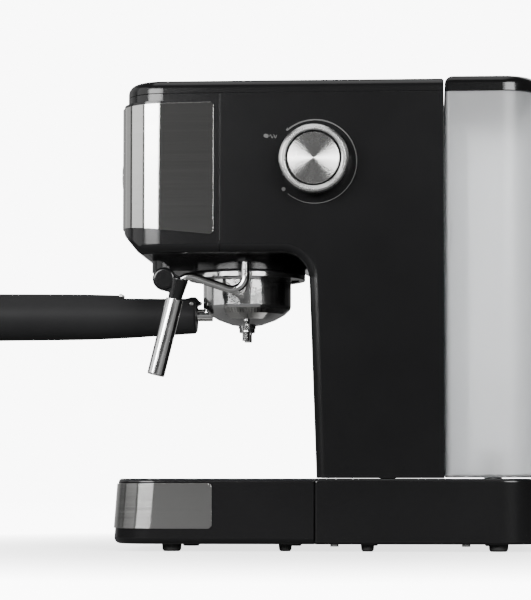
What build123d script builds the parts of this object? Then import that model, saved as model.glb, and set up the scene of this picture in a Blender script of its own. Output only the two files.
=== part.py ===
"""Slim pump espresso machine, built from the separate pieces it is assembled from.

Millimetres, +Z up. The front faces -Y and +X is the user's right-hand side, where the steam knob
and the steam wand are. The origin is on the counter, on the middle plane of the machine.
Every piece is one STEP file in parts/, named after the piece.
"""

from build123d import *
import os
from math import cos, radians, sin

# ---------------------------------------------------------------- driving dimensions
SEAM = 0.3                 # visible joint between neighbouring covers
WALL = 2.5                 # moulded wall

BASE_HALF = 75.0           # half width of the base and the drip tray
BODY_HALF = 73.0           # half width of the column, head and tank
BOW = 4.0                  # how far the fronts bow forward in the middle
CORNER_R = 28.0            # front corners, seen from above
REAR_R = 26.0              # rear corners, seen from above

FOOT_H = 5.0
BASE_TOP = 49.0
HEAD_UNDER = 200.8         # underside of the head
TIER_Z = 303.8             # where the narrower tier above the steel panel starts
COVER_Z = 309.0            # seam under the top cover
TOP_Z = 318.2

REAR = 143.0
TANK_FRONT = 78.4
COLUMN_REAR = 77.8
COLUMN_FOOT_Y = -8.0       # front of the column at the base
COLUMN_HEAD_Y = -13.4      # and just under the head
ARCH_R = 18.0              # inside corner between column and head
FASCIA_REAR = -73.2        # seam between the front fascia and the side covers
HEAD_FRONT = -138.8        # front corners of the head, before the bow
TIER_FRONT = -136.0
TRAY_FRONT_LOW = -144.9    # the tray front leans: low edge, high edge
TRAY_FRONT_HIGH = -141.6
TRAY_REAR = -9.5
BASE_FRONT = -9.2
CENTRE_HALF = 61.5         # half width of the covers between the side covers

GROUP_Y = -60.5            # brew group axis
KNOB_Y = -8.8
KNOB_Z = 261.8
WAND_X = 52.0
WAND_Y = -57.4             # steam wand swivel axis
PANEL_T = 1.0              # steel sheet on the front
BUTTON_Z = 257.0
BUTTON_PITCH = 31.0
TANK_VALVE_Y = 112.0
GLAND_X = -35.0
GLAND_Z = 24.0


# ---------------------------------------------------------------- helpers
def save(name, shape):
    """Writes one piece, whatever mix of solids it is, as one STEP file."""
    solids = shape.solids()
    export_step(solids[0] if len(solids) == 1 else Compound(children=list(solids)), f"parts/{name}.step")


def block(x_span, y_span, z_span):
    """A box between three pairs of limits."""
    spans = (x_span, y_span, z_span)
    size = [high - low for low, high in spans]
    centre = [(high + low) / 2 for low, high in spans]
    return Pos(*centre) * Box(*size)


def rod(start, direction, radius, length):
    """A cylinder that begins at start and runs along direction."""
    return Plane(start, z_dir=direction) * Cylinder(radius, length, align=(Align.CENTER, Align.CENTER, Align.MIN))


def tube(start, direction, radius, bore, length):
    """A ring or pipe along direction."""
    return rod(start, direction, radius, length) - rod(start, direction, bore, length)


def drum(x, y, z_span, radius, bore=0.0):
    """An upright cylinder, hollow if a bore is given."""
    low, high = z_span
    if bore:
        return tube((x, y, low), (0, 0, 1), radius, bore, high - low)
    return rod((x, y, low), (0, 0, 1), radius, high - low)


def hexagon(x, y, z_span, across, bore):
    """An upright hexagon nut."""
    low, high = z_span
    face = RegularPolygon(across / 2, 6, major_radius=False) - Circle(bore)
    return extrude(Pos(x, y, low) * face, high - low)


def plan(front, rear, half, bow=BOW, front_r=CORNER_R, rear_r=0.0):
    """Outline seen from above: bowed front, rounded corners, flat sides and rear."""
    if bow:
        front_edge = ThreePointArc((-half, front), (0, front - bow), (half, front))
    else:
        front_edge = Line((-half, front), (half, front))
    sides = Polyline((half, front), (half, rear), (-half, rear), (-half, front))
    face = make_face([front_edge.edge(), *sides.edges()])
    if front_r:
        face = fillet(face.vertices().sort_by(Axis.Y)[:2], front_r)
    if rear_r:
        face = fillet(face.vertices().sort_by(Axis.Y)[-2:], rear_r)
    return face


def upright(face, z_span):
    """An outline from above, raised between two heights."""
    low, high = z_span
    return extrude(Pos(0, 0, low) * face, high - low)


def side_outline(points, rounds=()):
    """A face in the YZ plane from (Y, Z) points; rounds holds (corner, radius) pairs."""
    face = make_face(Polyline(*points, close=True))
    for corner, radius in rounds:
        face = fillet(face.vertices().sort_by_distance(corner)[:1], radius)
    return face


def across(face, x_span):
    """A YZ face carried from one X to another."""
    low, high = x_span
    return extrude(Plane((low, 0, 0), x_dir=(0, 1, 0), z_dir=(1, 0, 0)) * face, high - low)


def lathe(points, x, y):
    """A turned solid about an upright axis from (radius, Z) points."""
    face = Plane.XZ * make_face(Polyline(*points, close=True))
    return Pos(x, y, 0) * revolve(face, Axis.Z, 360)


def pipe(points, radii, radius, bore=0.0):
    """A pipe along straight runs joined by arcs of the given radii."""
    path = FilletPolyline(*points, radius=radii)
    start = Plane(path @ 0, z_dir=path % 0)
    ring = Circle(radius) - Circle(bore) if bore else Circle(radius)
    return sweep(start * ring, path=path)


def around(count, radius, shape, start=0.0):
    """Copies of a shape set round the origin."""
    turns = [start + i * 360 / count for i in range(count)]
    return [Rot(0, 0, a) * Pos(radius, 0, 0) * shape for a in turns]


def join(shapes):
    """All the shapes as one object, touching or not."""
    shapes = list(shapes)
    whole = shapes[0]
    for shape in shapes[1:]:
        whole += shape
    return whole


def rounded_edges(solid, z, radius, keep=lambda edge: True):
    """Rounds the solid's edges that lie at height z."""
    flat = [e for e in solid.edges() if abs(e.bounding_box().min.Z - z) < 0.01
            and abs(e.bounding_box().max.Z - z) < 0.01 and keep(e)]
    return fillet(flat, radius)


# ---------------------------------------------------------------- base and feet
PLATE_T = 1.5
PLATE_HALF = 72.0
TONGUE_HALF = 66.0
TONGUE_FRONT = -137.0
BIG_FOOT = (6.7, [(58.0, -106.4), (62.0, 113.7)])
SMALL_FOOT = (4.6, [(58.0, -29.5), (63.0, 26.1)])
SCREW_SPOTS = [(x, y) for x in (-66.0, 66.0) for y in (4.0, 92.0)]


def base_housing():
    """The rear half of the base: an open-bottomed moulding that carries the column and the tank."""
    outer = upright(plan(BASE_FRONT, REAR, BASE_HALF, bow=0, front_r=2, rear_r=REAR_R), (FOOT_H, BASE_TOP))
    outer = rounded_edges(outer, BASE_TOP, 2.5, lambda e: e.center().Y > BASE_FRONT + 0.5)
    outer = rounded_edges(outer, FOOT_H, 1.5, lambda e: e.center().Y > BASE_FRONT + 0.5)
    inner = plan(BASE_FRONT + WALL, REAR - WALL, BASE_HALF - WALL, bow=0, front_r=1, rear_r=REAR_R - WALL)
    shell = outer - upright(inner, (FOOT_H - 1, BASE_TOP - WALL))
    shell -= block((-58, 58), (4, 66), (BASE_TOP - WALL - 1, BASE_TOP + 1))
    shell -= drum(0, TANK_VALVE_Y, (BASE_TOP - WALL - 1, BASE_TOP + 1), 12.2)
    shell -= rod((GLAND_X, REAR - WALL - 1, GLAND_Z), (0, 1, 0), 7.0, WALL + 2)
    shell -= block((-TONGUE_HALF - 0.4, TONGUE_HALF + 0.4), (BASE_FRONT - 1, 0), (FOOT_H - 1, FOOT_H + PLATE_T + 0.3))
    for x, y in SCREW_SPOTS:
        shell += drum(x, y, (FOOT_H + PLATE_T, BASE_TOP - WALL + 0.5), 4.0)
        shell -= drum(x, y, (FOOT_H, FOOT_H + 14), 1.4)
    return shell


def base_plate():
    """Steel bottom plate, with a tongue that runs forward under the drip tray."""
    rear_part = plan(BASE_FRONT + WALL + 0.3, REAR - WALL - 0.3, PLATE_HALF, bow=0, front_r=1, rear_r=REAR_R - WALL)
    tongue = plan(TONGUE_FRONT, BASE_FRONT + WALL + 2, TONGUE_HALF, bow=0, front_r=20)
    plate = upright(rear_part, (FOOT_H, FOOT_H + PLATE_T)) + upright(tongue, (FOOT_H, FOOT_H + PLATE_T))
    for x, y in SCREW_SPOTS:
        plate -= drum(x, y, (FOOT_H - 1, FOOT_H + PLATE_T + 1), 1.7)
    for i in range(7):
        plate -= block((-24, 24), (44 + 6 * i, 46.5 + 6 * i), (FOOT_H - 1, FOOT_H + PLATE_T + 1))
    return plate


def foot(radius):
    """A round rubber foot with a bevelled tread."""
    return lathe([(0, 0), (radius - 1.4, 0), (radius - 0.4, 1.2), (radius, FOOT_H), (0, FOOT_H)], 0, 0)


def rubber_feet():
    """Eight feet: a large and a small one at each end of both sides."""
    spots = [(radius, side * x, y) for radius, places in (BIG_FOOT, SMALL_FOOT) for x, y in places
             for side in (-1, 1)]
    return join(Pos(x, y, 0) * foot(radius) for radius, x, y in spots)


def base_screws():
    """Pan-head screws that hold the base plate, standing in their bosses."""
    screws = []
    for x, y in SCREW_SPOTS:
        head = drum(x, y, (FOOT_H - 1.6, FOOT_H), 2.8)
        slot = block((x - 1.6, x + 1.6), (y - 0.35, y + 0.35), (FOOT_H - 1.7, FOOT_H - 0.8))
        screws.append(head + drum(x, y, (FOOT_H, FOOT_H + 12), 1.36) - slot)
    return join(screws)


def cord_gland():
    """The inlet in the rear of the base that a mains lead enters by."""
    wall_y = REAR - WALL
    body = tube((GLAND_X, wall_y - 4, GLAND_Z), (0, 1, 0), 6.8, 3.6, 12)
    flange = tube((GLAND_X, REAR, GLAND_Z), (0, 1, 0), 9.0, 3.6, 2.0)
    nut = tube((GLAND_X, wall_y - 3.2, GLAND_Z), (0, 1, 0), 9.5, 6.7, 3.0)
    return body + flange + nut


# ---------------------------------------------------------------- column and head shell
CHIN_SLOPE = 1.15          # rise of the sloped chin under the front panel
CHIN_FOOT_Y = -128.2       # where the chin meets the underside
SURROUND_LOW = 192.6       # the moulded surround that hangs below the underside, round the brew group
SURROUND_FRONT = -125.6
SURROUND_R = 45.0


def body_profile(inset=0.0):
    """The machine from the side, drawn past its real top and bottom so that both stay open inside."""
    far_front = -165.0
    chin_z = HEAD_UNDER + CHIN_SLOPE * (CHIN_FOOT_Y - far_front)
    slope = (COLUMN_FOOT_Y - COLUMN_HEAD_Y) / (HEAD_UNDER - BASE_TOP)
    low = BASE_TOP - 12
    points = [
        (COLUMN_REAR, low),
        (COLUMN_REAR, 340),
        (far_front, 340),
        (far_front, chin_z),
        (CHIN_FOOT_Y, HEAD_UNDER),
        (COLUMN_HEAD_Y, HEAD_UNDER),
        (COLUMN_FOOT_Y + slope * (BASE_TOP - low), low),
    ]
    face = side_outline(points, [((COLUMN_HEAD_Y, HEAD_UNDER), ARCH_R), ((CHIN_FOOT_Y, HEAD_UNDER), 5.0)])
    return offset(face, -inset, kind=Kind.INTERSECTION) if inset else face


def body_shell():
    """The hollow outer form of column and head, before it is cut into its covers."""
    wide = (-BODY_HALF - 5, BODY_HALF + 5)
    lower = upright(plan(HEAD_FRONT, COLUMN_REAR, BODY_HALF), (BASE_TOP + 0.2, TIER_Z))
    outer = lower & across(body_profile(), wide)
    arch_edges = [e for e in outer.edges() if abs(abs(e.center().X) - BODY_HALF) < 0.01
                  and e.bounding_box().max.Z < HEAD_UNDER + 0.1 and e.center().Y < 20
                  and e.bounding_box().max.Z - e.bounding_box().min.Z + e.length > 1
                  and e.bounding_box().min.Z > BASE_TOP]
    outer = fillet(arch_edges, 6.0)
    outer += upright(plan(TIER_FRONT, COLUMN_REAR, BODY_HALF, front_r=CORNER_R - 1), (TIER_Z, COVER_Z - SEAM))
    inner_plan = plan(TIER_FRONT + WALL, COLUMN_REAR - WALL, BODY_HALF - WALL, front_r=CORNER_R - 1 - WALL)
    inner = upright(inner_plan, (BASE_TOP - 5, COVER_Z + 5)) & across(body_profile(WALL), wide)
    return outer - inner


def split_body(shell):
    """Cuts the shell into its covers and returns them by name."""
    far = 200
    under_zone = block((-CENTRE_HALF, CENTRE_HALF), (-122, -33), (HEAD_UNDER - 2, HEAD_UNDER + WALL + 0.5))
    column_zone = block((-CENTRE_HALF, CENTRE_HALF), (-33 + SEAM, 30), (0, HEAD_UNDER + WALL + 0.5))
    rear_zone = block((-CENTRE_HALF, CENTRE_HALF), (COLUMN_REAR - WALL - 0.5, far), (0, far * 2))

    def grown(zone_x, zone_y, zone_z):
        return block((-zone_x - SEAM, zone_x + SEAM), zone_y, zone_z)

    middle = (
        grown(CENTRE_HALF, (-122 - SEAM, -33 + SEAM), (0, HEAD_UNDER + WALL + 1))
        + grown(CENTRE_HALF, (-33, 30), (0, HEAD_UNDER + WALL + 1))
        + grown(CENTRE_HALF, (COLUMN_REAR - WALL - 1, far), (0, far * 2))
    )
    front_zone = block((-far, far), (-far, FASCIA_REAR), (0, far * 2))
    side_zone = block((SEAM / 2, far), (FASCIA_REAR + SEAM, far), (0, far * 2))
    left_zone = mirror(side_zone, Plane.YZ)
    return {
        "head_underside_cover": shell & under_zone,
        "column_front_cover": shell & column_zone,
        "rear_cover": shell & rear_zone,
        "front_fascia": (shell & front_zone) - middle,
        "right_side_cover": (shell & side_zone) - middle,
        "left_side_cover": (shell & left_zone) - middle,
    }


def surround():
    """The hollow surround of the brew group: round about the group, with a narrower nose in front."""

    def nose(inset):
        half, length = 32.0 - inset, GROUP_Y - SURROUND_FRONT - inset
        face = Pos(0, GROUP_Y - length / 2) * Rectangle(2 * half, length)
        return fillet(face.vertices().sort_by(Axis.Y)[:2], 14.0 - inset)

    ring = Pos(0, GROUP_Y) * Circle(SURROUND_R)
    body = upright(nose(0) + ring, (SURROUND_LOW, HEAD_UNDER))
    pocket = nose(WALL) - Pos(0, GROUP_Y) * Circle(SURROUND_R - 0.5)
    rear = block((-80, 80), (-33, 0), (180, 210))
    return body - rear, upright(pocket, (SURROUND_LOW + WALL, HEAD_UNDER + WALL + 1))


def covers():
    """The covers with their openings cut."""
    pieces = split_body(body_shell())
    body, pocket = surround()
    under = pieces["head_underside_cover"] + body - pocket
    under -= drum(0, GROUP_Y, (190, 210), 42.0)
    under -= drum(WAND_X, WAND_Y, (190, 210), 4.0)
    pieces["head_underside_cover"] = under
    pieces["column_front_cover"] -= drum(0, GROUP_Y, (185, 210), 42.0)
    right = pieces["right_side_cover"]
    right -= rod((60, KNOB_Y, KNOB_Z), (1, 0, 0), 6.0, 30)
    right -= rod((BODY_HALF - 1.0, KNOB_Y, KNOB_Z), (1, 0, 0), 25.0, 10)
    pieces["right_side_cover"] = right
    fascia = pieces["front_fascia"]
    for x in (-BUTTON_PITCH, 0, BUTTON_PITCH):
        fascia -= rod((x, -100, BUTTON_Z), (0, -1, 0), BEZEL_R + 0.1, 60)
    pieces["front_fascia"] = fascia
    return pieces


def front_panel():
    """The brushed steel sheet that wraps the front and both front corners."""
    inner_face = plan(HEAD_FRONT, 0, BODY_HALF)
    outer_face = plan(HEAD_FRONT - PANEL_T, 0, BODY_HALF + PANEL_T, front_r=CORNER_R + PANEL_T)
    wrap = upright(outer_face - inner_face, (HEAD_UNDER, COVER_Z))
    end = -77.1
    nick = 2.0
    edge = side_outline([
        (end, 213.4 + nick), (end, 302.7 - nick), (end - nick, 302.7), (-165, 301.1),
        (-165, 221.5), (end - nick, 213.4),
    ])
    sheet = wrap & across(edge, (-90, 90))
    for x in (-BUTTON_PITCH, 0, BUTTON_PITCH):
        sheet -= rod((x, -100, BUTTON_Z), (0, -1, 0), BEZEL_R + 0.1, 60)
    return sheet


def top_cover():
    """The lid of the head, with a recess for the cup plate and bosses inside."""
    outer = upright(plan(TIER_FRONT, COLUMN_REAR, BODY_HALF, front_r=CORNER_R - 1), (COVER_Z, TOP_Z))
    outer = rounded_edges(outer, TOP_Z, 6.5, lambda e: e.center().Y < COLUMN_REAR - 1)
    notch = across(side_outline([(COLUMN_REAR + 1, TOP_Z + 1), (COLUMN_REAR - 2.6, TOP_Z + 1),
                                 (COLUMN_REAR + 1, TOP_Z - 2.6)]), (-90, 90))
    inner = plan(TIER_FRONT + WALL + 1, COLUMN_REAR - WALL, BODY_HALF - WALL - 1, front_r=CORNER_R - 5)
    recess = plan(TIER_FRONT + 14, COLUMN_REAR - 10, BODY_HALF - 12, front_r=18, rear_r=8)
    cover = outer - notch - upright(inner, (COVER_Z - 1, TOP_Z - 3.6))
    return cover - upright(recess, (TOP_Z - 1.4, TOP_Z + 1))


def cup_plate():
    """The steel plate let into the top, on which cups stand to warm."""
    gap = 0.3
    face = plan(TIER_FRONT + 14 + gap, COLUMN_REAR - 10 - gap, BODY_HALF - 12 - gap, front_r=18, rear_r=8)
    plate = upright(face, (TOP_Z - 1.4, TOP_Z - 0.4))
    for row in range(9):
        for side in (-36, 0, 36):
            y = -100 + 18 * row
            slot = Pos(side, y, TOP_Z - 2) * extrude(SlotOverall(24, 3.2), 3)
            plate -= slot
    return plate


# ---------------------------------------------------------------- buttons and electronics
BUTTON_R = 9.7
BEZEL_R = 11.4
BOARD_Y = -121.0
BUTTON_TRAVEL = 1.0
BUTTONS = {"power_button": -BUTTON_PITCH, "brew_button": 0.0, "steam_button": BUTTON_PITCH}


def panel_y(x):
    """Where the bowed outer face of the steel panel stands at that X."""
    return HEAD_FRONT - PANEL_T - BOW * (1 - (x / BODY_HALF) ** 2)


def push_button(x):
    """A dished push cap on a stem that reaches back to its switch."""
    face_y = panel_y(x) + 0.2
    cap = rod((x, face_y, BUTTON_Z), (0, 1, 0), BUTTON_R, 6.0)
    cap = fillet(cap.edges().sort_by(Axis.Y)[:1], 0.8)
    dish = Pos(x, face_y - 38.9, BUTTON_Z) * Sphere(39.6)
    stem_end = BOARD_Y - 4.6 - BUTTON_TRAVEL - 0.2
    stem = rod((x, face_y + 5, BUTTON_Z), (0, 1, 0), 3.0, stem_end - face_y - 5)
    return cap - dish + stem


def button_bezels():
    """Bright rings that line the three button holes."""
    rings = [tube((x, panel_y(x) - 0.4, BUTTON_Z), (0, 1, 0), BEZEL_R, BUTTON_R + 0.3, 8.0) for x in BUTTONS.values()]
    return join(rings)


def control_board():
    """The printed board behind the buttons, with a switch for each, its connector and driver chip."""
    board = block((-54, 54), (BOARD_Y, BOARD_Y + 1.6), (236, 280))
    board += block((18, 30), (BOARD_Y + 1.6, BOARD_Y + 3.4), (262, 274))
    board += block((-44, -24), (BOARD_Y + 1.6, BOARD_Y + 9), (240, 247))
    for x in BUTTONS.values():
        board += block((x - 3, x + 3), (BOARD_Y - 3.4, BOARD_Y), (BUTTON_Z - 3, BUTTON_Z + 3))
        board += rod((x, BOARD_Y - 4.6, BUTTON_Z), (0, 1, 0), 1.7, 1.4)
    return board


def power_board():
    """The board that switches heater and pump, upright in the column."""
    x = 44.0
    parts = [block((x, x + 1.6), (8, 68), (80, 160))]
    for z in (92, 120):
        parts.append(block((x - 15, x), (14, 34), (z, z + 22)))
    parts.append(rod((x, 55, 100), (-1, 0, 0), 7.0, 20))
    for i in range(5):
        parts.append(block((x - 12, x), (42 + 5 * i, 43.5 + 5 * i), (122, 150)))
    parts.append(block((x - 3, x), (40, 66), (120, 122)))
    return join(parts)


# ---------------------------------------------------------------- brew group
RING_LOW = 188.3           # underside of the bayonet ring
RING_T = 3.0
EAR_ANGLES = (30, 150, 270)
LOCK_TURN = 45.0           # turn from the locked to the release position
EAR_LOW = 191.7


def sector(radius, inner, mid_angle, sweep_angle, z_span):
    """Part of a ring, centred on an angle, about the group axis."""
    low, high = z_span
    arms = [radians(mid_angle + s * sweep_angle / 2) for s in (-1, 1)]
    reach = radius * 1.6
    corner = [(cos(a) * reach, sin(a) * reach) for a in arms]
    wedge = make_face(Polyline((0, 0), corner[0], corner[1], close=True))
    ring = (Circle(radius) - Circle(inner)) & wedge
    return Pos(0, GROUP_Y, 0) * upright(ring, (low, high))


def bayonet_ring():
    """The steel ring under the group, slotted so that the filter holder's ears can pass."""
    ring = drum(0, GROUP_Y, (RING_LOW, RING_LOW + RING_T), 41.0, 32.0)
    for angle in EAR_ANGLES:
        ring -= sector(36.9, 30.0, angle - LOCK_TURN, 42, (RING_LOW - 1, RING_LOW + RING_T + 1))
    return ring


def group_head():
    """The cast head above the ring: ear channel, gasket groove and water way."""
    top = 213.0
    body = drum(0, GROUP_Y, (RING_LOW + RING_T, top), 41.0)
    body -= drum(0, GROUP_Y, (RING_LOW + RING_T - 1, 198.0), 37.4)
    body -= drum(0, GROUP_Y, (197, 204.0), 31.2, 24.6)
    body -= drum(0, GROUP_Y, (190, 201.4), 24.7)
    body -= drum(0, GROUP_Y, (190, top + 1), 2.1)
    return body


def group_gasket():
    """The silicone ring that seals the basket rim."""
    return drum(0, GROUP_Y, (197.3, 204.0), 31.0, 24.9)


def shower_screen():
    """The perforated disc that spreads water over the coffee."""
    screen = drum(0, GROUP_Y, (197.6, 198.6), 24.4, 2.2) + drum(0, GROUP_Y, (198.6, 201.3), 24.4, 23.4)
    holes = []
    for count, radius in ((6, 5.5), (12, 10.5), (18, 15.5), (24, 20.5)):
        holes += around(count, radius, Circle(0.8))
    pattern = join(holes)
    return screen - Pos(0, GROUP_Y, 0) * upright(pattern, (197, 199))


def shower_screw():
    """The screw in the middle of the shower screen."""
    head = drum(0, GROUP_Y, (195.8, 197.6), 4.2)
    slot = block((-3.0, 3.0), (GROUP_Y - 0.5, GROUP_Y + 0.5), (195, 196.6))
    return head - slot + drum(0, GROUP_Y, (197.6, 207), 2.0)


PORT_Z = 237.2


def thermoblock():
    """The finned heater block on top of the group, with its water and steam ports and its terminals."""
    outline = [(0, 213.0), (38.0, 213.0)]
    for z in (222, 231, 240):
        outline += [(38.0, z), (34.5, z), (34.5, z + 3), (38.0, z + 3)]
    outline += [(38.0, 248.0), (36.0, 250.0), (0, 250.0)]
    body = lathe(outline, 0, GROUP_Y)
    for x in (-25, 25):
        body += rod((x, -40, PORT_Z), (0, 1, 0), 4.4, 13.0)
        body -= rod((x, -34, PORT_Z), (0, 1, 0), 2.45, 10.0)
    for x in (-14, 14):
        body += rod((x, -92, 227), (0, -1, 0), 3.6, 12.0)
        body += block((x - 2.5, x + 2.5), (-110, -103.5), (226.6, 227.4))
    return body


def thermostats():
    """Two snap-action thermostats clamped on the block."""
    parts = []
    for x in (-16, 16):
        can = drum(x, GROUP_Y, (250.0, 254.0), 8.0) + drum(x, GROUP_Y, (254.0, 262.0), 6.6)
        tabs = [block((x + s - 1.5, x + s + 1.5), (GROUP_Y - 0.4, GROUP_Y + 0.4), (262, 269)) for s in (-4, 4)]
        parts.append(can + tabs[0] + tabs[1])
    return join(parts)


# ---------------------------------------------------------------- filter holder
HANDLE_Z = 163.2
HANDLE_ROOT = -96.2
HANDLE_END = -248.0
LEVER_HALF = 5.0
PIN_Y = -99.2
PIN_Z = 171.5
STOP_Y = -149.6
STOP_Z = 178.0
NECK_Z = 164.3
SPOUT_Z = 151.8
SPOUT_X = 9.0              # half the distance between the two streams
FLAT_Z = 175.7             # flat on top of the handle, level with the retainer


def portafilter_body():
    """The cast filter holder: cup, three ears, domed bottom, spout boss, neck and tang."""
    cup = lathe([
        (0, 154.6), (6.2, 154.6), (6.2, 156.3), (11, 157.1), (20, 160.4), (26.6, 164.2), (30.2, 167.6),
        (31.0, 169.6), (31.0, 187.6), (31.3, 188.4), (31.3, 196.2), (27.2, 196.2), (27.2, 173.0),
        (23.4, 168.6), (13.0, 165.0), (0, 164.2),
    ], 0, GROUP_Y)
    for angle in EAR_ANGLES:
        cup += sector(36.3, 30.0, angle, 34, (EAR_LOW, EAR_LOW + 3.4))
    neck = rod((0, -85, NECK_Z), (0, -1, 0), 4.4, 11.1)
    stud = rod((0, -95.8, NECK_Z), (0, -1, 0), 3.8, 37)
    return cup + neck + stud - drum(0, GROUP_Y, (150, 175), 2.6)


def filter_basket():
    """The pressed steel basket that holds the coffee."""
    basket = lathe([
        (0, 174.0), (22.4, 174.0), (26.4, 178.0), (26.7, 196.25), (30.6, 196.25), (30.6, 197.05), (25.9, 197.05),
        (25.6, 178.4), (22.0, 174.8), (0, 174.8),
    ], 0, GROUP_Y)
    holes = []
    for count, radius in ((6, 5), (12, 10), (18, 15), (20, 19.5)):
        holes += around(count, radius, Circle(0.55))
    return basket - Pos(0, GROUP_Y, 0) * upright(join(holes), (173, 176))


def drip_spout():
    """The twin spout screwed under the holder."""
    hub = drum(0, GROUP_Y, (SPOUT_Z - 0.4, 154.55), 5.65)
    hub = fillet(hub.edges().sort_by(Axis.Z)[:1], 0.8)
    spout = hub + drum(0, GROUP_Y, (154, 160), 2.55)
    spout += rod((-SPOUT_X, GROUP_Y, SPOUT_Z), (1, 0, 0), 2.5, 2 * SPOUT_X)
    for x in (-SPOUT_X, SPOUT_X):
        spout += Pos(x, GROUP_Y, SPOUT_Z) * Sphere(2.95) + drum(x, GROUP_Y, (145.4, SPOUT_Z), 2.7)
    for x in (-SPOUT_X, SPOUT_X):
        spout -= drum(x, GROUP_Y, (145, SPOUT_Z), 1.8)
    spout -= rod((-SPOUT_X, GROUP_Y, SPOUT_Z), (1, 0, 0), 1.5, 2 * SPOUT_X)
    return spout - drum(0, GROUP_Y, (SPOUT_Z, 161), 1.6)


def handle_solid():
    """The long turned handle, before its lever slot is cut."""
    profile = Spline((HANDLE_ROOT - 1.2, 12.1), (-122, 13.6), (-152, 15.4), (-196, 16.4), (-239, 16.7))
    tip = ThreePointArc((-239, 16.7), (-245.3, 14.0), (-247.8, 7.6))
    root = Polyline((-247.8, 7.6), (HANDLE_END, 0), (HANDLE_ROOT, 0), (HANDLE_ROOT, 10.9), (HANDLE_ROOT - 1.2, 12.1))
    face = make_face([profile.edge(), tip.edge(), *root.edges()])
    upright_face = Plane((0, 0, HANDLE_Z), x_dir=(0, 1, 0), z_dir=(-1, 0, 0)) * face
    return revolve(upright_face, Axis((0, 0, HANDLE_Z), (0, 1, 0)), 360)


def handle():
    """The black handle, slotted on top for the basket retainer."""
    solid = handle_solid() - block((-20, 20), (-148.6, -94), (FLAT_Z, 190))
    solid -= block((-LEVER_HALF - 0.4, LEVER_HALF + 0.4), (-148.6, -94), (172.6, 190))
    solid -= block((-LEVER_HALF - 0.4, LEVER_HALF + 0.4), (-105.8, -94), (168.4, 190))
    solid -= rod((-9.6, PIN_Y, PIN_Z), (1, 0, 0), 1.5, 19.2) + rod((-6.1, STOP_Y, STOP_Z), (1, 0, 0), 1.35, 12.2)
    return solid - rod((0, -94, NECK_Z), (0, -1, 0), 3.85, 40)


def retainer_pin():
    """The pin the retainer turns on, and the stop pin let into the step behind its thumb end."""
    return rod((-8.4, PIN_Y, PIN_Z), (1, 0, 0), 1.45, 16.8) + rod((-6.0, STOP_Y, STOP_Z), (1, 0, 0), 1.3, 12.0)


def basket_retainer():
    """The thumb lever that keeps the basket in when it is knocked out."""
    outline = side_outline([
        (-148.0, FLAT_Z), (-148.0, 173.3), (-104.6, 173.0), (-102.0, 170.6), (-99.4, 169.2), (-96.8, 170.4),
        (-93.4, 171.8), (-92.8, 173.4), (-94.6, 174.2), (-96.4, 176.8), (-99.6, 176.8), (-103.6, FLAT_Z),
    ], [((-148.0, FLAT_Z), 1.0), ((-96.4, 176.8), 1.4), ((-99.6, 176.8), 1.4)])
    lever = across(outline, (-LEVER_HALF, LEVER_HALF))
    return lever - rod((-10, PIN_Y, PIN_Z), (1, 0, 0), 1.55, 20)


# ---------------------------------------------------------------- steam wand
WAND_DIR = (0.0, -sin(radians(14.0)), -cos(radians(14.0)))
WAND_TOP = (WAND_X, -102.5, 184.0)
TUBE_R = 2.8
SLEEVE_R = 6.0


def on_wand(distance):
    """The point that far down the straight part of the wand."""
    return tuple(a + b * distance for a, b in zip(WAND_TOP, WAND_DIR))


def wand_shape(radius, bore=0.0):
    """The wand's bent line from the swivel to the nozzle, at any thickness."""
    path = [(WAND_X, WAND_Y, 211.0), (WAND_X, WAND_Y, 174.2), on_wand(-5.4), on_wand(61)]
    return pipe(path, [9.0, 8.5], radius, bore)


def steam_tube():
    """The bent steel tube from the swivel to the nozzle."""
    return wand_shape(TUBE_R, 1.5)


def steam_grip():
    """The rubber grip that the wand is moved by, with its round thumb tab."""
    ferrule = Plane(on_wand(-1.5), z_dir=WAND_DIR) * Cone(6.2, 4.6, 14.6, align=(Align.CENTER, Align.CENTER, Align.MIN))
    ferrule = fillet(ferrule.edges().sort_by(Axis.Z)[-1:], 1.2)
    tab = rod((WAND_X - 4.5, -112.7, 185.0), (1, 0, 0), 7.9, 9.0)
    tab = fillet(tab.edges().filter_by(GeomType.CIRCLE), 2.0)
    web = across(side_outline([(-112.7, 192.7), (-102.1, 186.5), (-105.0, 174.5), (-113.6, 177.3)]),
                 (WAND_X - 3.2, WAND_X + 3.2))
    return ferrule + tab + web - wand_shape(TUBE_R + 0.02)


def frother_sleeve():
    """The pull-off steel sleeve over the wand, with its air hole and froth outlet."""
    top = 13.4
    length = 53.4
    sleeve = rod(on_wand(top), WAND_DIR, SLEEVE_R, length)
    sleeve = fillet(sleeve.edges().sort_by(Axis.Z)[:1], 1.2)
    sleeve -= rod(on_wand(top - 1), WAND_DIR, 4.1, length - 4)
    sleeve -= rod(on_wand(top + length - 8), WAND_DIR, 2.2, 12)
    return sleeve - rod(on_wand(27), (-1, 0, 0), 0.8, 8)


def sleeve_seal():
    """The silicone ring that grips the sleeve."""
    return tube(on_wand(18), WAND_DIR, 3.95, TUBE_R + 0.02, 5.0)


def wand_swivel():
    """The swivel the wand turns in: a nut under the head and a gland inside it."""
    body = hexagon(WAND_X, WAND_Y, (196.6, HEAD_UNDER - 0.1), 10.0, 1.0)
    body += drum(WAND_X, WAND_Y, (199, HEAD_UNDER + WALL), 3.9) + drum(WAND_X, WAND_Y, (HEAD_UNDER + WALL, 218), 8.0)
    return body - drum(WAND_X, WAND_Y, (190, 211.5), TUBE_R + 0.08) - drum(WAND_X, WAND_Y, (205, 219), 1.5)


# ---------------------------------------------------------------- steam knob and valve
KNOB_X = BODY_HALF + 0.4
KNOB_FACE = 90.5
POINTER_ANGLE = 219.5      # closed position, seen from the right-hand side


def knob_disc(x, radius, length):
    """A disc on the knob axis."""
    return rod((x, KNOB_Y, KNOB_Z), (1, 0, 0), radius, length)


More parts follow.
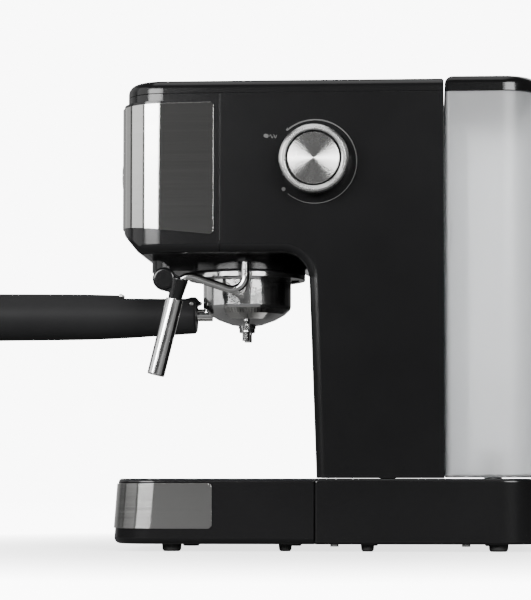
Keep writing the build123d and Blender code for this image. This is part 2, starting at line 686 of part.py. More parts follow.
def knob_body():
    """The dark moulded skirt, with the socket for the valve stem."""
    skirt = knob_disc(KNOB_X, 22.7, 13.4)
    skirt -= knob_disc(KNOB_X - 1, 19.6, 8.4)
    skirt += knob_disc(KNOB_X, 6.6, 10.0)
    skirt += knob_disc(KNOB_X + 13.4, 18.6, 1.6)
    return skirt - knob_disc(KNOB_X - 1, 3.0, 11.0)


def knob_bezel():
    """The bright bevelled ring round the knob face, with a raised pointer mark."""
    x0 = KNOB_X + 13.4
    face = make_face(Polyline((x0, 18.7), (x0, 22.9), (x0 + 0.9, 23.3), (KNOB_FACE - 0.8, 22.5),
                              (KNOB_FACE, 21.3), (KNOB_FACE, 19.5), (KNOB_FACE - 0.5, 18.7), close=True))
    ring = revolve(face, Axis.X, 360)
    mark_plane = Plane((KNOB_FACE - 0.3, 0, 0), x_dir=(0, 1, 0), z_dir=(1, 0, 0))
    mark = extrude(mark_plane * Pos(20.2, 0) * SlotOverall(1.9, 0.9), 0.6)
    return Pos(0, KNOB_Y, KNOB_Z) * (ring + Rot(POINTER_ANGLE, 0, 0) * mark)


def knob_cap():
    """The spun metal disc in the middle of the knob."""
    cap = knob_disc(KNOB_X + 15.0, 17.3, 1.5)
    return chamfer(cap.edges().sort_by(Axis.X)[-1:], 0.4)


def valve_stem():
    """The stem that the knob turns, ending in the needle."""
    stem = knob_disc(52.0, 2.95, KNOB_X + 9.9 - 52.0)
    collar = knob_disc(66.0, 4.2, 2.0)
    return stem + collar


def steam_valve():
    """The brass valve body behind the knob, with inlet and outlet stubs."""
    body = block((44, 65.6), (KNOB_Y - 9, KNOB_Y + 9), (KNOB_Z - 9, KNOB_Z + 9))
    body += knob_disc(65.6, 8.0, 4.6)
    body -= knob_disc(50.0, 3.05, 30)
    body -= knob_disc(65.8, 4.4, 5)
    body += rod((57, KNOB_Y, KNOB_Z - 9), (0, 0, -1), 5.0, 6.0)
    body += rod((44, KNOB_Y, KNOB_Z), (-1, 0, 0), 5.0, 6.0)
    return body


# ---------------------------------------------------------------- pump and plumbing
PUMP_X = -25.0
PUMP_Y = 38.0


def pump_body():
    """The pump's core tube and inlet."""
    core = drum(PUMP_X, PUMP_Y, (80, 172), 9.8)
    inlet = drum(PUMP_X, PUMP_Y, (66, 80), 4.0, 1.6) + drum(PUMP_X, PUMP_Y, (76, 84), 12.0)
    return core + inlet


def pump_coil():
    """The solenoid coil in its steel yoke."""
    half = 22.0
    coil = block((PUMP_X - half, PUMP_X + half), (PUMP_Y - half, PUMP_Y + half), (98, 150))
    coil = fillet(coil.edges().filter_by(Axis.Z), 4.0)
    windows = block((PUMP_X - 14, PUMP_X + 14), (PUMP_Y - half - 1, PUMP_Y - half + 4), (104, 144))
    return coil - windows - drum(PUMP_X, PUMP_Y, (90, 160), 10.0)


def pump_bracket():
    """The bent steel bracket that hangs the pump from the rear cover."""
    shelf = block((PUMP_X - 26, PUMP_X + 26), (PUMP_Y - 24, COLUMN_REAR - WALL), (90, 91.5))
    back = block((PUMP_X - 26, PUMP_X + 26), (COLUMN_REAR - WALL - 1.5, COLUMN_REAR - WALL), (60, 90))
    return shelf + back - drum(PUMP_X, PUMP_Y, (80, 100), 12.6)


def pump_mounts():
    """Four rubber mounts that keep the pump's hum out of the housing."""
    pads = [drum(PUMP_X + x, PUMP_Y + y, (91.5, 98), 4.0) for x in (-17, 17) for y in (-17, 17)]
    return join(pads)


def relief_valve():
    """The brass outlet of the pump, with its relief valve."""
    body = hexagon(PUMP_X, PUMP_Y, (172, 180), 17.0, 1.6) + drum(PUMP_X, PUMP_Y, (180, 192), 8.0, 1.6)
    body += rod((PUMP_X, PUMP_Y + 6.0, 186), (0, 1, 0), 4.0, 13)
    return body - rod((PUMP_X, PUMP_Y + 12.0, 186), (0, 1, 0), 2.0, 8)


def suction_hose():
    """Soft silicone hose from the tank seat to the pump inlet."""
    path = [(0, TANK_VALVE_Y, 33.0), (0, TANK_VALVE_Y, 19), (PUMP_X, PUMP_Y, 19), (PUMP_X, PUMP_Y, 75.8)]
    return pipe(path, [11.0, 11.0], 5.6, 4.05)


def water_pipes():
    """Three pipes: pump to heater, heater to steam valve, and steam valve to the wand's swivel."""
    cold = [(PUMP_X, PUMP_Y, 192.0), (PUMP_X, PUMP_Y, PORT_Z), (PUMP_X, -33.0, PORT_Z)]
    feed = [(25, -33.0, PORT_Z), (25, KNOB_Y, PORT_Z), (25, KNOB_Y, KNOB_Z), (38, KNOB_Y, KNOB_Z)]
    drop = [(57, KNOB_Y, KNOB_Z - 15), (57, KNOB_Y, 229), (WAND_X, WAND_Y, 229), (WAND_X, WAND_Y, 218)]
    runs = [(cold, [12.0]), (feed, [6.0, 6.0]), (drop, [7.0, 7.0])]
    return join(pipe(path, radii, 2.4, 1.3) for path, radii in runs)


# ---------------------------------------------------------------- drip tray
TRIM_T = 0.9
GRID_TOP = 48.6
GRID_LOW = 47.2


def tray_form(grow=0.0, low=FOOT_H, high=BASE_TOP):
    """The tray's outer form: its front leans back towards the top."""
    lean = (TRAY_FRONT_HIGH - TRAY_FRONT_LOW) / (BASE_TOP - FOOT_H)

    def slice_at(z):
        front = TRAY_FRONT_LOW + lean * (z - FOOT_H) - grow
        return Pos(0, 0, z) * plan(front, TRAY_REAR, BASE_HALF + grow, front_r=CORNER_R + grow)

    return loft([slice_at(low), slice_at(high)], ruled=True)


def drip_tray():
    """The moulded tray, channelled underneath for the base plate's tongue."""
    form = tray_form()
    form = rounded_edges(form, BASE_TOP, 2.5, lambda e: e.center().Y < TRAY_REAR - 0.5)
    form = rounded_edges(form, FOOT_H, 4.0, lambda e: e.center().Y < TRAY_REAR - 0.5)
    channel = plan(TONGUE_FRONT - 1.2, 0, TONGUE_HALF + 1.2, bow=0, front_r=21.2)
    form -= upright(channel, (FOOT_H - 1, FOOT_H + PLATE_T + 0.2))
    basin = tray_basin()
    ledge = basin - tray_basin(3.0)
    form -= upright(basin, (FOOT_H + 5.5, BASE_TOP + 1))
    return form + upright(ledge, (GRID_LOW - 3.0, GRID_LOW - 0.05))


def tray_basin(inset=0.0):
    """The outline of the space inside the tray."""
    return plan(TRAY_FRONT_HIGH + WALL + 0.5 + inset, TRAY_REAR - WALL - inset, BASE_HALF - WALL - inset,
                front_r=CORNER_R - WALL - inset, rear_r=4)


def tray_trim():
    """The steel band round the tray front, with clipped rear corners."""
    ring = tray_form(TRIM_T, 10.0, 48.5) - tray_form(0.0, 8.0, 49.0)
    nick = 2.0
    low, high, end = 15.5, 45.6, -77.6
    edge = side_outline([
        (end, low + nick), (end, high - nick), (end - nick, high), (-165, high), (-165, low), (end - nick, low),
    ])
    return ring & across(edge, (-90, 90))


def drip_grid():
    """The slotted steel grid that cups stand on."""
    grid = upright(tray_basin(0.5), (GRID_LOW, GRID_TOP))
    slots = []
    for row in range(11):
        y = -126 + 10.6 * row
        reach = 52 if row == 0 else 60
        for side in (-1, 1):
            slot = SlotCenterToCenter(reach / 2 - 4, 3.4)
            slots.append(Pos(side * (reach / 4 + 4.5), y, 0) * slot)
    return grid - upright(join(slots), (GRID_TOP - 5, GRID_TOP + 1))


# ---------------------------------------------------------------- water tank
TANK_LOW = 49.5
TANK_TOP = 308.6
TANK_HALF = 72.4
TANK_WALL = 2.2
LID_LOW = 309.0
LID_TOP = 319.6


def tank_plan(inset=0.0):
    """The tank's outline from above."""
    return plan(TANK_FRONT + inset, REAR - 0.6 - inset, TANK_HALF - inset, bow=0, front_r=4 - inset / 2,
                rear_r=REAR_R - inset)


def water_tank():
    """The frosted tank, with guide ribs on its front wall and a hole for its valve."""
    tank = upright(tank_plan(), (TANK_LOW, TANK_TOP))
    tank = rounded_edges(tank, TANK_LOW, 2.0)
    tank -= upright(tank_plan(TANK_WALL), (TANK_LOW + TANK_WALL, TANK_TOP + 1))
    inner_front = TANK_FRONT + TANK_WALL
    for x in (-50, 50):
        tank += block((x - 1.2, x + 1.2), (inner_front - 0.2, inner_front + 14), (TANK_LOW + 2, TANK_TOP - 18))
    return tank - drum(0, TANK_VALVE_Y, (TANK_LOW - 1, TANK_LOW + 4), 6.6)


def tank_lid():
    """The lid, dished underneath, with a lip that drops into the tank."""
    outer = upright(plan(TANK_FRONT, REAR, BODY_HALF, bow=0, front_r=2, rear_r=REAR_R), (LID_LOW, LID_TOP))
    outer = rounded_edges(outer, LID_TOP, 6.0, lambda e: e.center().Y > TANK_FRONT + 1)
    notch = across(side_outline([(TANK_FRONT - 1, LID_TOP + 1), (TANK_FRONT + 2.6, LID_TOP + 1),
                                 (TANK_FRONT - 1, LID_TOP - 2.6)]), (-90, 90))
    lid = outer - notch - upright(tank_plan(TANK_WALL + 2.5), (LID_LOW - 1, LID_TOP - 3))
    lip = upright(tank_plan(TANK_WALL + 0.4) - tank_plan(TANK_WALL + 2.4), (LID_LOW - 6, LID_LOW + 1))
    scoop = Pos(0, REAR - 16, LID_TOP + 1) * extrude(SlotOverall(46, 16), -3.0)
    return lid + lip - scoop


def tank_valve_body():
    """The valve fitted in the tank floor: collar inside, nozzle below."""
    body = lathe([
        (3.2, 41.0), (6.3, 41.0), (6.3, TANK_LOW + TANK_WALL), (9.0, TANK_LOW + TANK_WALL), (9.0, 62.0), (7.6, 62.0),
        (7.6, 55.0), (3.2, 52.0),
    ], 0, TANK_VALVE_Y)
    return body


def tank_valve_plunger():
    """The spring-loaded plunger that shuts the tank when it is lifted."""
    stem = drum(0, TANK_VALVE_Y, (42.4, 60.0), 1.6)
    head = lathe([(0, 56.4), (2.4, 56.4), (6.6, 58.4), (6.6, 60.4), (0, 60.4)], 0, TANK_VALVE_Y)
    return stem + head


def valve_spring():
    """The spring that presses the plunger down."""
    helix = Helix(pitch=1.5, height=6.0, radius=4.0, center=(0, TANK_VALVE_Y, 61.0))
    wire = Plane(helix @ 0, z_dir=helix % 0) * Circle(0.35)
    return sweep(wire, path=helix, is_frenet=True)


def tank_strainer():
    """The mesh cap over the valve, which also holds the spring."""
    cap = drum(0, TANK_VALVE_Y, (62.0, 68.0), 9.0, 7.8) + drum(0, TANK_VALVE_Y, (68.0, 69.2), 9.0)
    holes = []
    for count, radius in ((1, 0), (6, 3), (12, 6)):
        holes += around(count, radius, Circle(0.9))
    return cap - Pos(0, TANK_VALVE_Y, 0) * upright(join(holes), (67, 70))


def valve_seat():
    """The socket in the base that the tank valve plugs into, with its opening pin."""
    body = drum(0, TANK_VALVE_Y, (35.0, BASE_TOP), 12.0) - drum(0, TANK_VALVE_Y, (40.0, BASE_TOP + 1), 6.7)
    body += drum(0, TANK_VALVE_Y, (30.0, 35.0), 4.0) + drum(0, TANK_VALVE_Y, (40.0, 42.2), 1.4)
    body -= drum(0, TANK_VALVE_Y + 3.0, (34.0, 41.0), 1.0)
    return body


# ---------------------------------------------------------------- write every piece
def main():
    """Makes each piece and writes it."""
    os.makedirs("parts", exist_ok=True)
    makers = [
        base_housing, base_plate, base_screws, rubber_feet, cord_gland, front_panel, top_cover, cup_plate,
        button_bezels, control_board, power_board, bayonet_ring, group_head, group_gasket, shower_screen,
        shower_screw, thermoblock, thermostats, portafilter_body, filter_basket, drip_spout, handle,
        retainer_pin, basket_retainer, steam_tube, steam_grip, frother_sleeve, sleeve_seal, wand_swivel,
        knob_body, knob_bezel, knob_cap, valve_stem, steam_valve, pump_body, pump_coil, pump_bracket,
        pump_mounts, relief_valve, suction_hose, water_pipes, drip_tray, tray_trim,
        drip_grid, water_tank, tank_lid, tank_valve_body, tank_valve_plunger, valve_spring,
        tank_strainer, valve_seat,
    ]
    for maker in makers:
        save(maker.__name__, maker())
    for name, piece in covers().items():
        save(name, piece)
    for name, x in BUTTONS.items():
        save(name, push_button(x))


if __name__ == "__main__":
    main()
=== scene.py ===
import math

import bpy
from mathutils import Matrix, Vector


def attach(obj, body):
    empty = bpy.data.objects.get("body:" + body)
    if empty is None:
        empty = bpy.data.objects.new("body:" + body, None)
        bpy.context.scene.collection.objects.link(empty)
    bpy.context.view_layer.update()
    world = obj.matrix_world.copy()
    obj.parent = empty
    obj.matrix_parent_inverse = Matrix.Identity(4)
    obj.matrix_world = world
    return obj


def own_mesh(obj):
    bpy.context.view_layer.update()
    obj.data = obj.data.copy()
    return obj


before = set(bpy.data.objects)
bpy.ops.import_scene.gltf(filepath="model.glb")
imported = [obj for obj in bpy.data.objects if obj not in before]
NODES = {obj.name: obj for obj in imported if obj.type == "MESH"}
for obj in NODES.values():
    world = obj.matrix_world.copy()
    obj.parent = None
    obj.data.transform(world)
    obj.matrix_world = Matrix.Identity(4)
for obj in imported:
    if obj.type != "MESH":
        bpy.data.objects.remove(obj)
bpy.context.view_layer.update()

MM = 0.001
SIDE_X = 73.0 * MM                 # flat outer face of the side covers
KNOB_AT = Vector((0.0, -8.8, 261.8)) * MM
SCALE_R = 28.2                     # radius of the printed travel arc, millimetres
SCALE_START, SCALE_END = 230.0, 488.0    # its ends, degrees

WHITE_LEVEL = 9.0                  # the studio's white, as the camera sees it
TANK_BACKLIGHT = 2.9               # the white that comes through the frosted tank
DIM_FRONT, DIM_BEHIND = 0.09, 0.6  # the room that lights and reflects, around and behind the object


# ---------------------------------------------------------------- shader building blocks
class Graph:
    """A material's node tree, built by short calls."""

    def __init__(self, name):
        self.material = bpy.data.materials.new(name)
        self.material.use_nodes = True
        self.tree = self.material.node_tree
        self.tree.nodes.clear()
        self.output = self.tree.nodes.new("ShaderNodeOutputMaterial")
        self.place = self.add("ShaderNodeTexCoord").outputs["Object"]

    def add(self, kind, settings=None, **sockets):
        """Adds a node; settings are its properties and sockets its inputs, a value or an output to link."""
        node = self.tree.nodes.new(kind)
        for key, value in (settings or {}).items():
            setattr(node, key, value)
        for key, value in sockets.items():
            self.feed(node, key.replace("_", " "), value)
        return node

    def feed(self, node, key, value):
        socket = node.inputs[int(key)] if key.isdigit() else node.inputs[key]
        if isinstance(value, bpy.types.NodeSocket):
            self.tree.links.new(value, socket)
        else:
            socket.default_value = value

    def stretched(self, scale):
        """Object coordinates, scaled per axis, so that a texture can run along a direction."""
        return self.add("ShaderNodeMapping", Vector=self.place, Scale=scale).outputs[0]

    def noise(self, scale, detail=3.0, rough=0.55, vector=None):
        return self.add("ShaderNodeTexNoise", Vector=vector or self.place, Scale=scale, Detail=detail,
                        Roughness=rough).outputs["Fac"]

    def span(self, value, low, high, start=0.0, end=1.0):
        """Carries value from start..end on to low..high."""
        node = self.add("ShaderNodeMapRange", Value=value)
        for key, number in (("From Min", start), ("From Max", end), ("To Min", low), ("To Max", high)):
            node.inputs[key].default_value = number
        return node.outputs[0]

    def mix(self, factor, a, b):
        node = self.add("ShaderNodeMix", {"data_type": "RGBA"})
        self.feed(node, "0", factor)
        self.feed(node, "6", a)
        self.feed(node, "7", b)
        return node.outputs[2]

    def math(self, operation, a, b=0.0):
        node = self.add("ShaderNodeMath", {"operation": operation})
        self.feed(node, "0", a)
        self.feed(node, "1", b)
        return node.outputs[0]

    def wear(self, radius=0.0007, start=0.02, end=0.35):
        """1 on sharp edges, 0 on open faces."""
        soft = self.add("ShaderNodeBevel", {"samples": 4}, Radius=radius).outputs[0]
        true = self.add("ShaderNodeNewGeometry").outputs["Normal"]
        dot = self.add("ShaderNodeVectorMath", {"operation": "DOT_PRODUCT"})
        self.tree.links.new(soft, dot.inputs[0])
        self.tree.links.new(true, dot.inputs[1])
        return self.span(self.math("SUBTRACT", 1.0, dot.outputs["Value"]), 0.0, 1.0, start, end)

    def bumped(self, height, strength, distance, soft_edge=0.0):
        """A normal with that height on it, over edges softened by soft_edge."""
        node = self.add("ShaderNodeBump", Height=height, Strength=strength, Distance=distance)
        if soft_edge:
            edge = self.add("ShaderNodeBevel", {"samples": 4}, Radius=soft_edge).outputs[0]
            self.tree.links.new(edge, node.inputs["Normal"])
        return node.outputs[0]

    def surface(self, **sockets):
        """The principled shader that ends the graph."""
        shader = self.add("ShaderNodeBsdfPrincipled", **sockets)
        self.tree.links.new(shader.outputs[0], self.output.inputs[0])
        return self.material


def rgb(*values):
    return (*values, 1.0)


def plastic(name, colour, rough, grain=1500.0, grain_depth=0.05, edge_gain=1.8, spread=0.05, shine=0.35):
    """Moulded plastic: fine grain, uneven sheen, edges rubbed a little paler."""
    g = Graph(name)
    smudge = g.noise(9.0, 5.0, 0.6)
    edge = g.math("MULTIPLY", g.wear(), g.span(g.noise(60.0, 4.0), 0.25, 1.0, 0.35, 0.65))
    base = g.mix(g.span(g.noise(38.0, 3.0), 0.0, 1.0, 0.3, 0.7), rgb(*colour), rgb(*[c * 1.12 for c in colour]))
    base = g.mix(edge, base, rgb(*[min(1.0, c * edge_gain + 0.006) for c in colour]))
    sheen = g.math("ADD", g.span(smudge, rough - spread, rough + spread, 0.3, 0.7), g.math("MULTIPLY", edge, 0.06))
    normal = g.bumped(g.noise(grain, 2.0), grain_depth, 0.0004, 0.0004)
    return g.surface(Base_Color=base, Roughness=sheen, Specular_IOR_Level=shine, Normal=normal)


def brushed(name, colour, rough, along, anisotropic=0.75, turn=0.25, axis="Z", contrast=0.10, depth=0.012):
    """Brushed steel; along squeezes the coordinates so that the streaks run one way."""
    g = Graph(name)
    streaks = g.noise(1.0, 6.0, 0.7, g.stretched(along))
    broad = g.noise(1.0, 3.0, 0.5, g.stretched([s * 0.12 for s in along]))
    base = g.mix(g.span(streaks, 0.0, 1.0, 0.3, 0.7), rgb(*[c * (1 - contrast) for c in colour]), rgb(*colour))
    base = g.mix(g.math("MULTIPLY", g.wear(0.0006), 0.6), base, rgb(0.85, 0.85, 0.84))
    fine = g.span(streaks, rough - 0.02, rough + 0.02, 0.25, 0.75)
    sheen = g.math("ADD", fine, g.span(broad, -0.01, 0.02, 0.3, 0.7))
    tangent = g.add("ShaderNodeTangent", {"direction_type": "RADIAL", "axis": axis}).outputs[0]
    normal = g.bumped(streaks, depth, 0.0002, 0.0004)
    return g.surface(Base_Color=base, Metallic=1.0, Roughness=sheen, Anisotropic=anisotropic,
                     Anisotropic_Rotation=turn, Tangent=tangent, Normal=normal)


def metal(name, colour, rough, grain=0.02, scale=140.0, edge=0.5):
    """Smooth metal with faint handling marks."""
    g = Graph(name)
    marks = g.noise(scale, 4.0, 0.6)
    sheen = g.span(marks, rough - 0.03, rough + 0.05, 0.3, 0.7)
    base = g.mix(g.span(g.noise(22.0, 3.0), 0.0, 1.0, 0.3, 0.7), rgb(*[c * 0.93 for c in colour]), rgb(*colour))
    base = g.mix(g.math("MULTIPLY", g.wear(0.0005), edge), base, rgb(*[min(1.0, c * 1.2) for c in colour]))
    normal = g.bumped(g.noise(900.0, 2.0), grain, 0.0003, 0.0003)
    return g.surface(Base_Color=base, Metallic=1.0, Roughness=sheen, Normal=normal)


def frosted(name, colour, rough, through):
    """Frosted translucent plastic."""
    g = Graph(name)
    cloud = g.noise(26.0, 4.0, 0.6)
    base = g.mix(g.span(cloud, 0.0, 1.0, 0.3, 0.7), rgb(*[c * 0.96 for c in colour]), rgb(*colour))
    sheen = g.span(g.noise(300.0, 3.0), rough - 0.04, rough + 0.05, 0.3, 0.7)
    normal = g.bumped(g.noise(1400.0, 2.0), 0.12, 0.0003, 0.0004)
    return g.surface(Base_Color=base, Roughness=sheen, Transmission_Weight=through, IOR=1.46, Normal=normal)


# ---------------------------------------------------------------- materials, one per finish
BLACK = (0.0046, 0.0046, 0.0049)
M = {
    "case": plastic("case_black", BLACK, 0.17, spread=0.02, shine=0.40),
    "gloss": plastic("gloss_black", (0.014, 0.014, 0.0145), 0.50, grain=2200.0, grain_depth=0.02, shine=0.10),
    "rubber": plastic("rubber_black", (0.02, 0.02, 0.02), 0.62, grain=900.0, grain_depth=0.12),
    "button": plastic("button_grey", (0.028, 0.028, 0.030), 0.36, grain=2000.0),
    "white": plastic("inner_white", (0.62, 0.62, 0.60), 0.42),
    "ptfe": plastic("ptfe_white", (0.70, 0.69, 0.66), 0.38),
    "silicone": plastic("silicone_milk", (0.56, 0.54, 0.50), 0.50),
    "red": plastic("silicone_red", (0.30, 0.035, 0.02), 0.46),
    "board": plastic("board_green", (0.010, 0.075, 0.030), 0.34, grain=700.0, grain_depth=0.15),
    "panel": brushed("panel_steel", (0.62, 0.617, 0.605), 0.135, (5.0, 5.0, 1500.0), 1.0),
    "grid": brushed("grid_steel", (0.58, 0.575, 0.56), 0.30, (5.0, 900.0, 900.0), turn=0.0),
    "cap": brushed("spun_steel", (0.66, 0.655, 0.645), 0.26, (40.0, 900.0, 900.0), 1.0, 0.25, "X", 0.05, 0.004),
    "chrome": metal("polished_steel", (0.74, 0.74, 0.735), 0.11),
    "satin": metal("satin_steel", (0.74, 0.74, 0.73), 0.26, 0.005, 60.0),
    "steel": metal("plain_steel", (0.56, 0.56, 0.55), 0.30, 0.06),
    "alloy": metal("cast_alloy", (0.42, 0.42, 0.43), 0.46, 0.30, 500.0),
    "iron": metal("dark_casting", (0.055, 0.055, 0.058), 0.42, 0.25, 500.0),
    "brass": metal("brass", (0.66, 0.46, 0.20), 0.24),
    "tank": frosted("tank_frosted", (0.80, 0.81, 0.82), 0.36, 0.86),
}
FINISH = {
    "case": ["base_housing", "cord_gland", "top_cover", "head_underside_cover", "column_front_cover", "rear_cover",
             "front_fascia", "right_side_cover", "left_side_cover", "drip_tray", "tank_lid", "basket_retainer",
             "knob_body", "wand_swivel", "steam_grip"],
    "gloss": ["handle"],
    "rubber": ["rubber_feet", "pump_mounts"],
    "button": ["power_button", "brew_button", "steam_button"],
    "white": ["pump_body", "valve_seat", "tank_valve_body", "tank_strainer", "tank_valve_plunger"],
    "ptfe": ["water_pipes"],
    "silicone": ["suction_hose", "group_gasket"],
    "red": ["sleeve_seal"],
    "board": ["control_board", "power_board"],
    "panel": ["front_panel", "tray_trim"],
    "grid": ["drip_grid", "cup_plate"],
    "cap": ["knob_cap"],
    "chrome": ["button_bezels", "bayonet_ring", "shower_screen", "portafilter_body", "filter_basket", "drip_spout",
               "steam_tube", "frother_sleeve"],
    "satin": ["knob_bezel"],
    "steel": ["base_plate", "base_screws", "shower_screw", "thermostats", "pump_coil", "pump_bracket",
              "valve_spring", "retainer_pin", "valve_stem"],
    "alloy": ["thermoblock"],
    "iron": ["group_head"],
    "brass": ["steam_valve", "relief_valve"],
    "tank": ["water_tank"],
}
for finish, names in FINISH.items():
    for name in names:
        mesh = NODES[name].data
        mesh.materials.clear()
        mesh.materials.append(M[finish])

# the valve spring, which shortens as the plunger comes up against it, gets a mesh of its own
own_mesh(NODES["valve_spring"])


# ---------------------------------------------------------------- printed marks on the right side cover
def made(name, vertices, faces, material, body="housing", slot="black_plastic"):
    """A new piece that rides on a body."""
    mesh = bpy.data.meshes.new(name)
    mesh.from_pydata(vertices, [], faces)
    mesh.update()
    mesh.materials.append(material)
    piece = bpy.data.objects.new(name, mesh)
    bpy.context.scene.collection.objects.link(piece)
    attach(piece, body)
    return piece


def on_side(y, z, lift=0.04):
    """A point just off the side cover, y and z in millimetres from the knob's centre."""
    return (SIDE_X + lift * MM, KNOB_AT.y + y * MM, KNOB_AT.z + z * MM)


def strip(points, widths):
    """Vertices and faces of a flat ribbon along (y, z) points with a width at each."""
    vertices, faces = [], []
    for i, ((y, z), width) in enumerate(zip(points, widths)):
        before, after = points[max(i - 1, 0)], points[min(i + 1, len(points) - 1)]
        run = Vector((after[0] - before[0], after[1] - before[1])).normalized()
        for side in (-1, 1):
            vertices.append(on_side(y - run.y * side * width / 2, z + run.x * side * width / 2))
        if i:
            k = 2 * i
            faces.append((k - 2, k - 1, k + 1, k))
    return vertices, faces


def outline(y, z, radii):
    """Vertices and faces of a flat rounded blob about a point, with those radii evenly round it."""
    count = len(radii)
    vertices = [on_side(y, z)]
    for i, radius in enumerate(radii):
        a = 2 * math.pi * i / count
        vertices.append(on_side(y + radius * math.cos(a), z + radius * math.sin(a)))
    return vertices, [(0, 1 + i, 1 + (i + 1) % count) for i in range(count)]


def arc(radius, start, end, steps, width_at):
    """Points and widths of an arc about the knob, angles in degrees seen from the right-hand side."""
    points, widths = [], []
    for step in range(steps + 1):
        t = step / steps
        angle = math.radians(start + (end - start) * t)
        points.append((radius * math.cos(angle), radius * math.sin(angle)))
        widths.append(width_at(t))
    return points, widths


print_ink = plastic("print_silver", (0.07, 0.07, 0.069), 0.45, grain=2500.0, grain_depth=0.02)
made("knob_scale_arc", *strip(*arc(SCALE_R, SCALE_START, SCALE_END, 96, lambda t: 0.35 + 0.65 * t)), print_ink)
made("knob_scale_end", *strip(*arc(SCALE_R + 0.3, SCALE_END + 0.5, SCALE_END + 4.0, 4, lambda t: 2.0 - 1.1 * t)),
     print_ink)
made("knob_closed_dot", *outline(-21.0, -18.5, [1.35] * 24), print_ink)
made("steam_icon_pot", *outline(-32.8, 17.6, [1.75, 1.6, 1.3, 1.3, 1.6, 1.75] * 2), print_ink)
for number in range(2):
    start = -30.4 + 2.5 * number
    wave = [(start + 0.23 * i, 17.2 + 1.15 * math.sin(i * math.pi / 5 + number)) for i in range(11)]
    made(f"steam_icon_wave_{number + 1}", *strip(wave, [0.5] * 11), print_ink)


# ---------------------------------------------------------------- stage, light and camera
def area(name, azimuth, elevation, distance, width, height, radiance, aim=(0.05, -0.06, 0.2)):
    """A soft box at that azimuth, counted from +X towards -Y, seen from the aim point."""
    lamp = bpy.data.lights.new(name, "AREA")
    lamp.shape, lamp.size, lamp.size_y = "RECTANGLE", width, height
    lamp.energy = radiance * math.pi * width * height
    a, e = math.radians(azimuth), math.radians(elevation)
    away = Vector((math.cos(a) * math.cos(e), -math.sin(a) * math.cos(e), math.sin(e)))
    light = bpy.data.objects.new(name, lamp)
    light.location = Vector(aim) + away * distance
    light.rotation_mode = "QUATERNION"
    light.rotation_quaternion = away.to_track_quat("Z", "Y")
    bpy.context.scene.collection.objects.link(light)
    return light


def studio_floor():
    """A pale floor that fades into the white of the studio."""
    sides, rings = 96, (0.25, 0.5, 1.0, 2.0, 3.0)
    vertices = [(0, 0, 0)]
    for radius in rings:
        for i in range(sides):
            a = 2 * math.pi * i / sides
            vertices.append((radius * math.cos(a), radius * math.sin(a), 0))
    faces = [(0, 1 + i, 1 + (i + 1) % sides) for i in range(sides)]
    for ring in range(len(rings) - 1):
        low, high = 1 + ring * sides, 1 + (ring + 1) * sides
        for i in range(sides):
            j = (i + 1) % sides
            faces.append((low + i, high + i, high + j, low + j))
    mesh = bpy.data.meshes.new("studio_floor")
    mesh.from_pydata(vertices, [], faces)
    mesh.update()
    g = Graph("floor_white")
    distance = g.add("ShaderNodeVectorMath", {"operation": "LENGTH"})
    g.tree.links.new(g.place, distance.inputs[0])
    fade = g.span(distance.outputs["Value"], 0.0, 1.0, 0.10, 0.50)
    seen = g.add("ShaderNodeLightPath").outputs["Is Camera Ray"]
    grain = g.span(g.noise(3.0, 4.0), 0.0, 1.0, 0.3, 0.7)
    pale = g.mix(grain, rgb(0.80, 0.80, 0.80), rgb(0.84, 0.84, 0.84))
    tone = g.mix(seen, rgb(0.16, 0.16, 0.16), pale)
    glow = g.math("MULTIPLY", seen, g.span(g.math("MULTIPLY", fade, fade), 2.2, WHITE_LEVEL))
    mesh.materials.append(g.surface(Base_Color=tone, Roughness=0.8, Specular_IOR_Level=0.1,
                                    Emission_Color=rgb(1, 1, 1), Emission_Strength=glow))
    floor = bpy.data.objects.new("studio_floor", mesh)
    bpy.context.scene.collection.objects.link(floor)


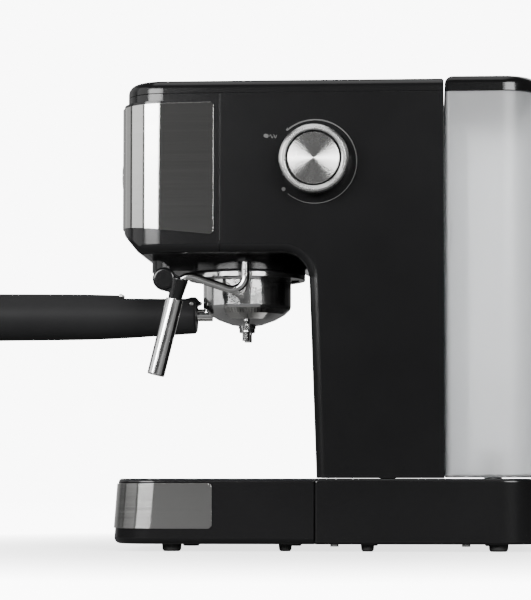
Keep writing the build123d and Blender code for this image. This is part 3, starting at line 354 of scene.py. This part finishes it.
def studio_world():
    """White to the camera, paler than that through the tank, dim where it only lights or reflects."""
    world = bpy.data.worlds.new("studio")
    world.use_nodes = True
    tree = world.node_tree
    path = tree.nodes.new("ShaderNodeLightPath")
    place = tree.nodes.new("ShaderNodeSeparateXYZ")
    tree.links.new(tree.nodes.new("ShaderNodeTexCoord").outputs["Generated"], place.inputs[0])
    behind = tree.nodes.new("ShaderNodeMapRange")
    for key, number in (("From Min", -0.5), ("From Max", -0.9), ("To Min", DIM_FRONT), ("To Max", DIM_BEHIND)):
        behind.inputs[key].default_value = number
    tree.links.new(place.outputs["X"], behind.inputs["Value"])
    backlight = tree.nodes.new("ShaderNodeMix")
    backlight.inputs[3].default_value = TANK_BACKLIGHT
    tree.links.new(path.outputs["Is Transmission Ray"], backlight.inputs[0])
    tree.links.new(behind.outputs[0], backlight.inputs[2])
    strength = tree.nodes.new("ShaderNodeMix")
    strength.inputs[3].default_value = WHITE_LEVEL
    tree.links.new(path.outputs["Is Camera Ray"], strength.inputs[0])
    tree.links.new(backlight.outputs[0], strength.inputs[2])
    tree.links.new(strength.outputs[0], tree.nodes["Background"].inputs["Strength"])
    tree.nodes["Background"].inputs["Color"].default_value = (1, 1, 1, 1)
    bpy.context.scene.world = world


studio_floor()
studio_world()
key = area("key_box", 33, 16, 1.9, 1.25, 0.6, 21.0)
area("right_box", -29, 16, 1.9, 0.9, 0.6, 21.0)
area("front_box", 76, 20, 1.8, 1.2, 1.1, 1.6)
area("far_box", 116, 20, 1.8, 0.9, 1.1, 0.55)
area("top_box", 20, 84, 1.8, 1.4, 1.4, 1.6)
area("rear_box", 205, 40, 2.2, 1.4, 1.0, 2.0)

# the key light would turn the flat black lid white when it is seen from behind
shaded = bpy.data.collections.new("shaded_from_key")
shaded.objects.link(NODES["tank_lid"])
key.light_linking.receiver_collection = shaded
shaded.collection_objects[0].light_linking.link_state = "EXCLUDE"

camera_data = bpy.data.cameras.new("camera")
camera_data.lens, camera_data.sensor_width = 126.1, 36.0
camera_data.shift_x, camera_data.shift_y = -0.08, 0.15
camera = bpy.data.objects.new("camera", camera_data)
bpy.context.scene.collection.objects.link(camera)
camera.location = (1.475, 0.068, 0.048)
yaw, pitch = math.radians(3.17), math.radians(2.45)
aim = Vector((-math.cos(pitch) * math.cos(yaw), -math.cos(pitch) * math.sin(yaw), math.sin(pitch)))
camera.rotation_mode = "QUATERNION"
camera.rotation_quaternion = aim.to_track_quat("-Z", "Y")
bpy.context.scene.camera = camera
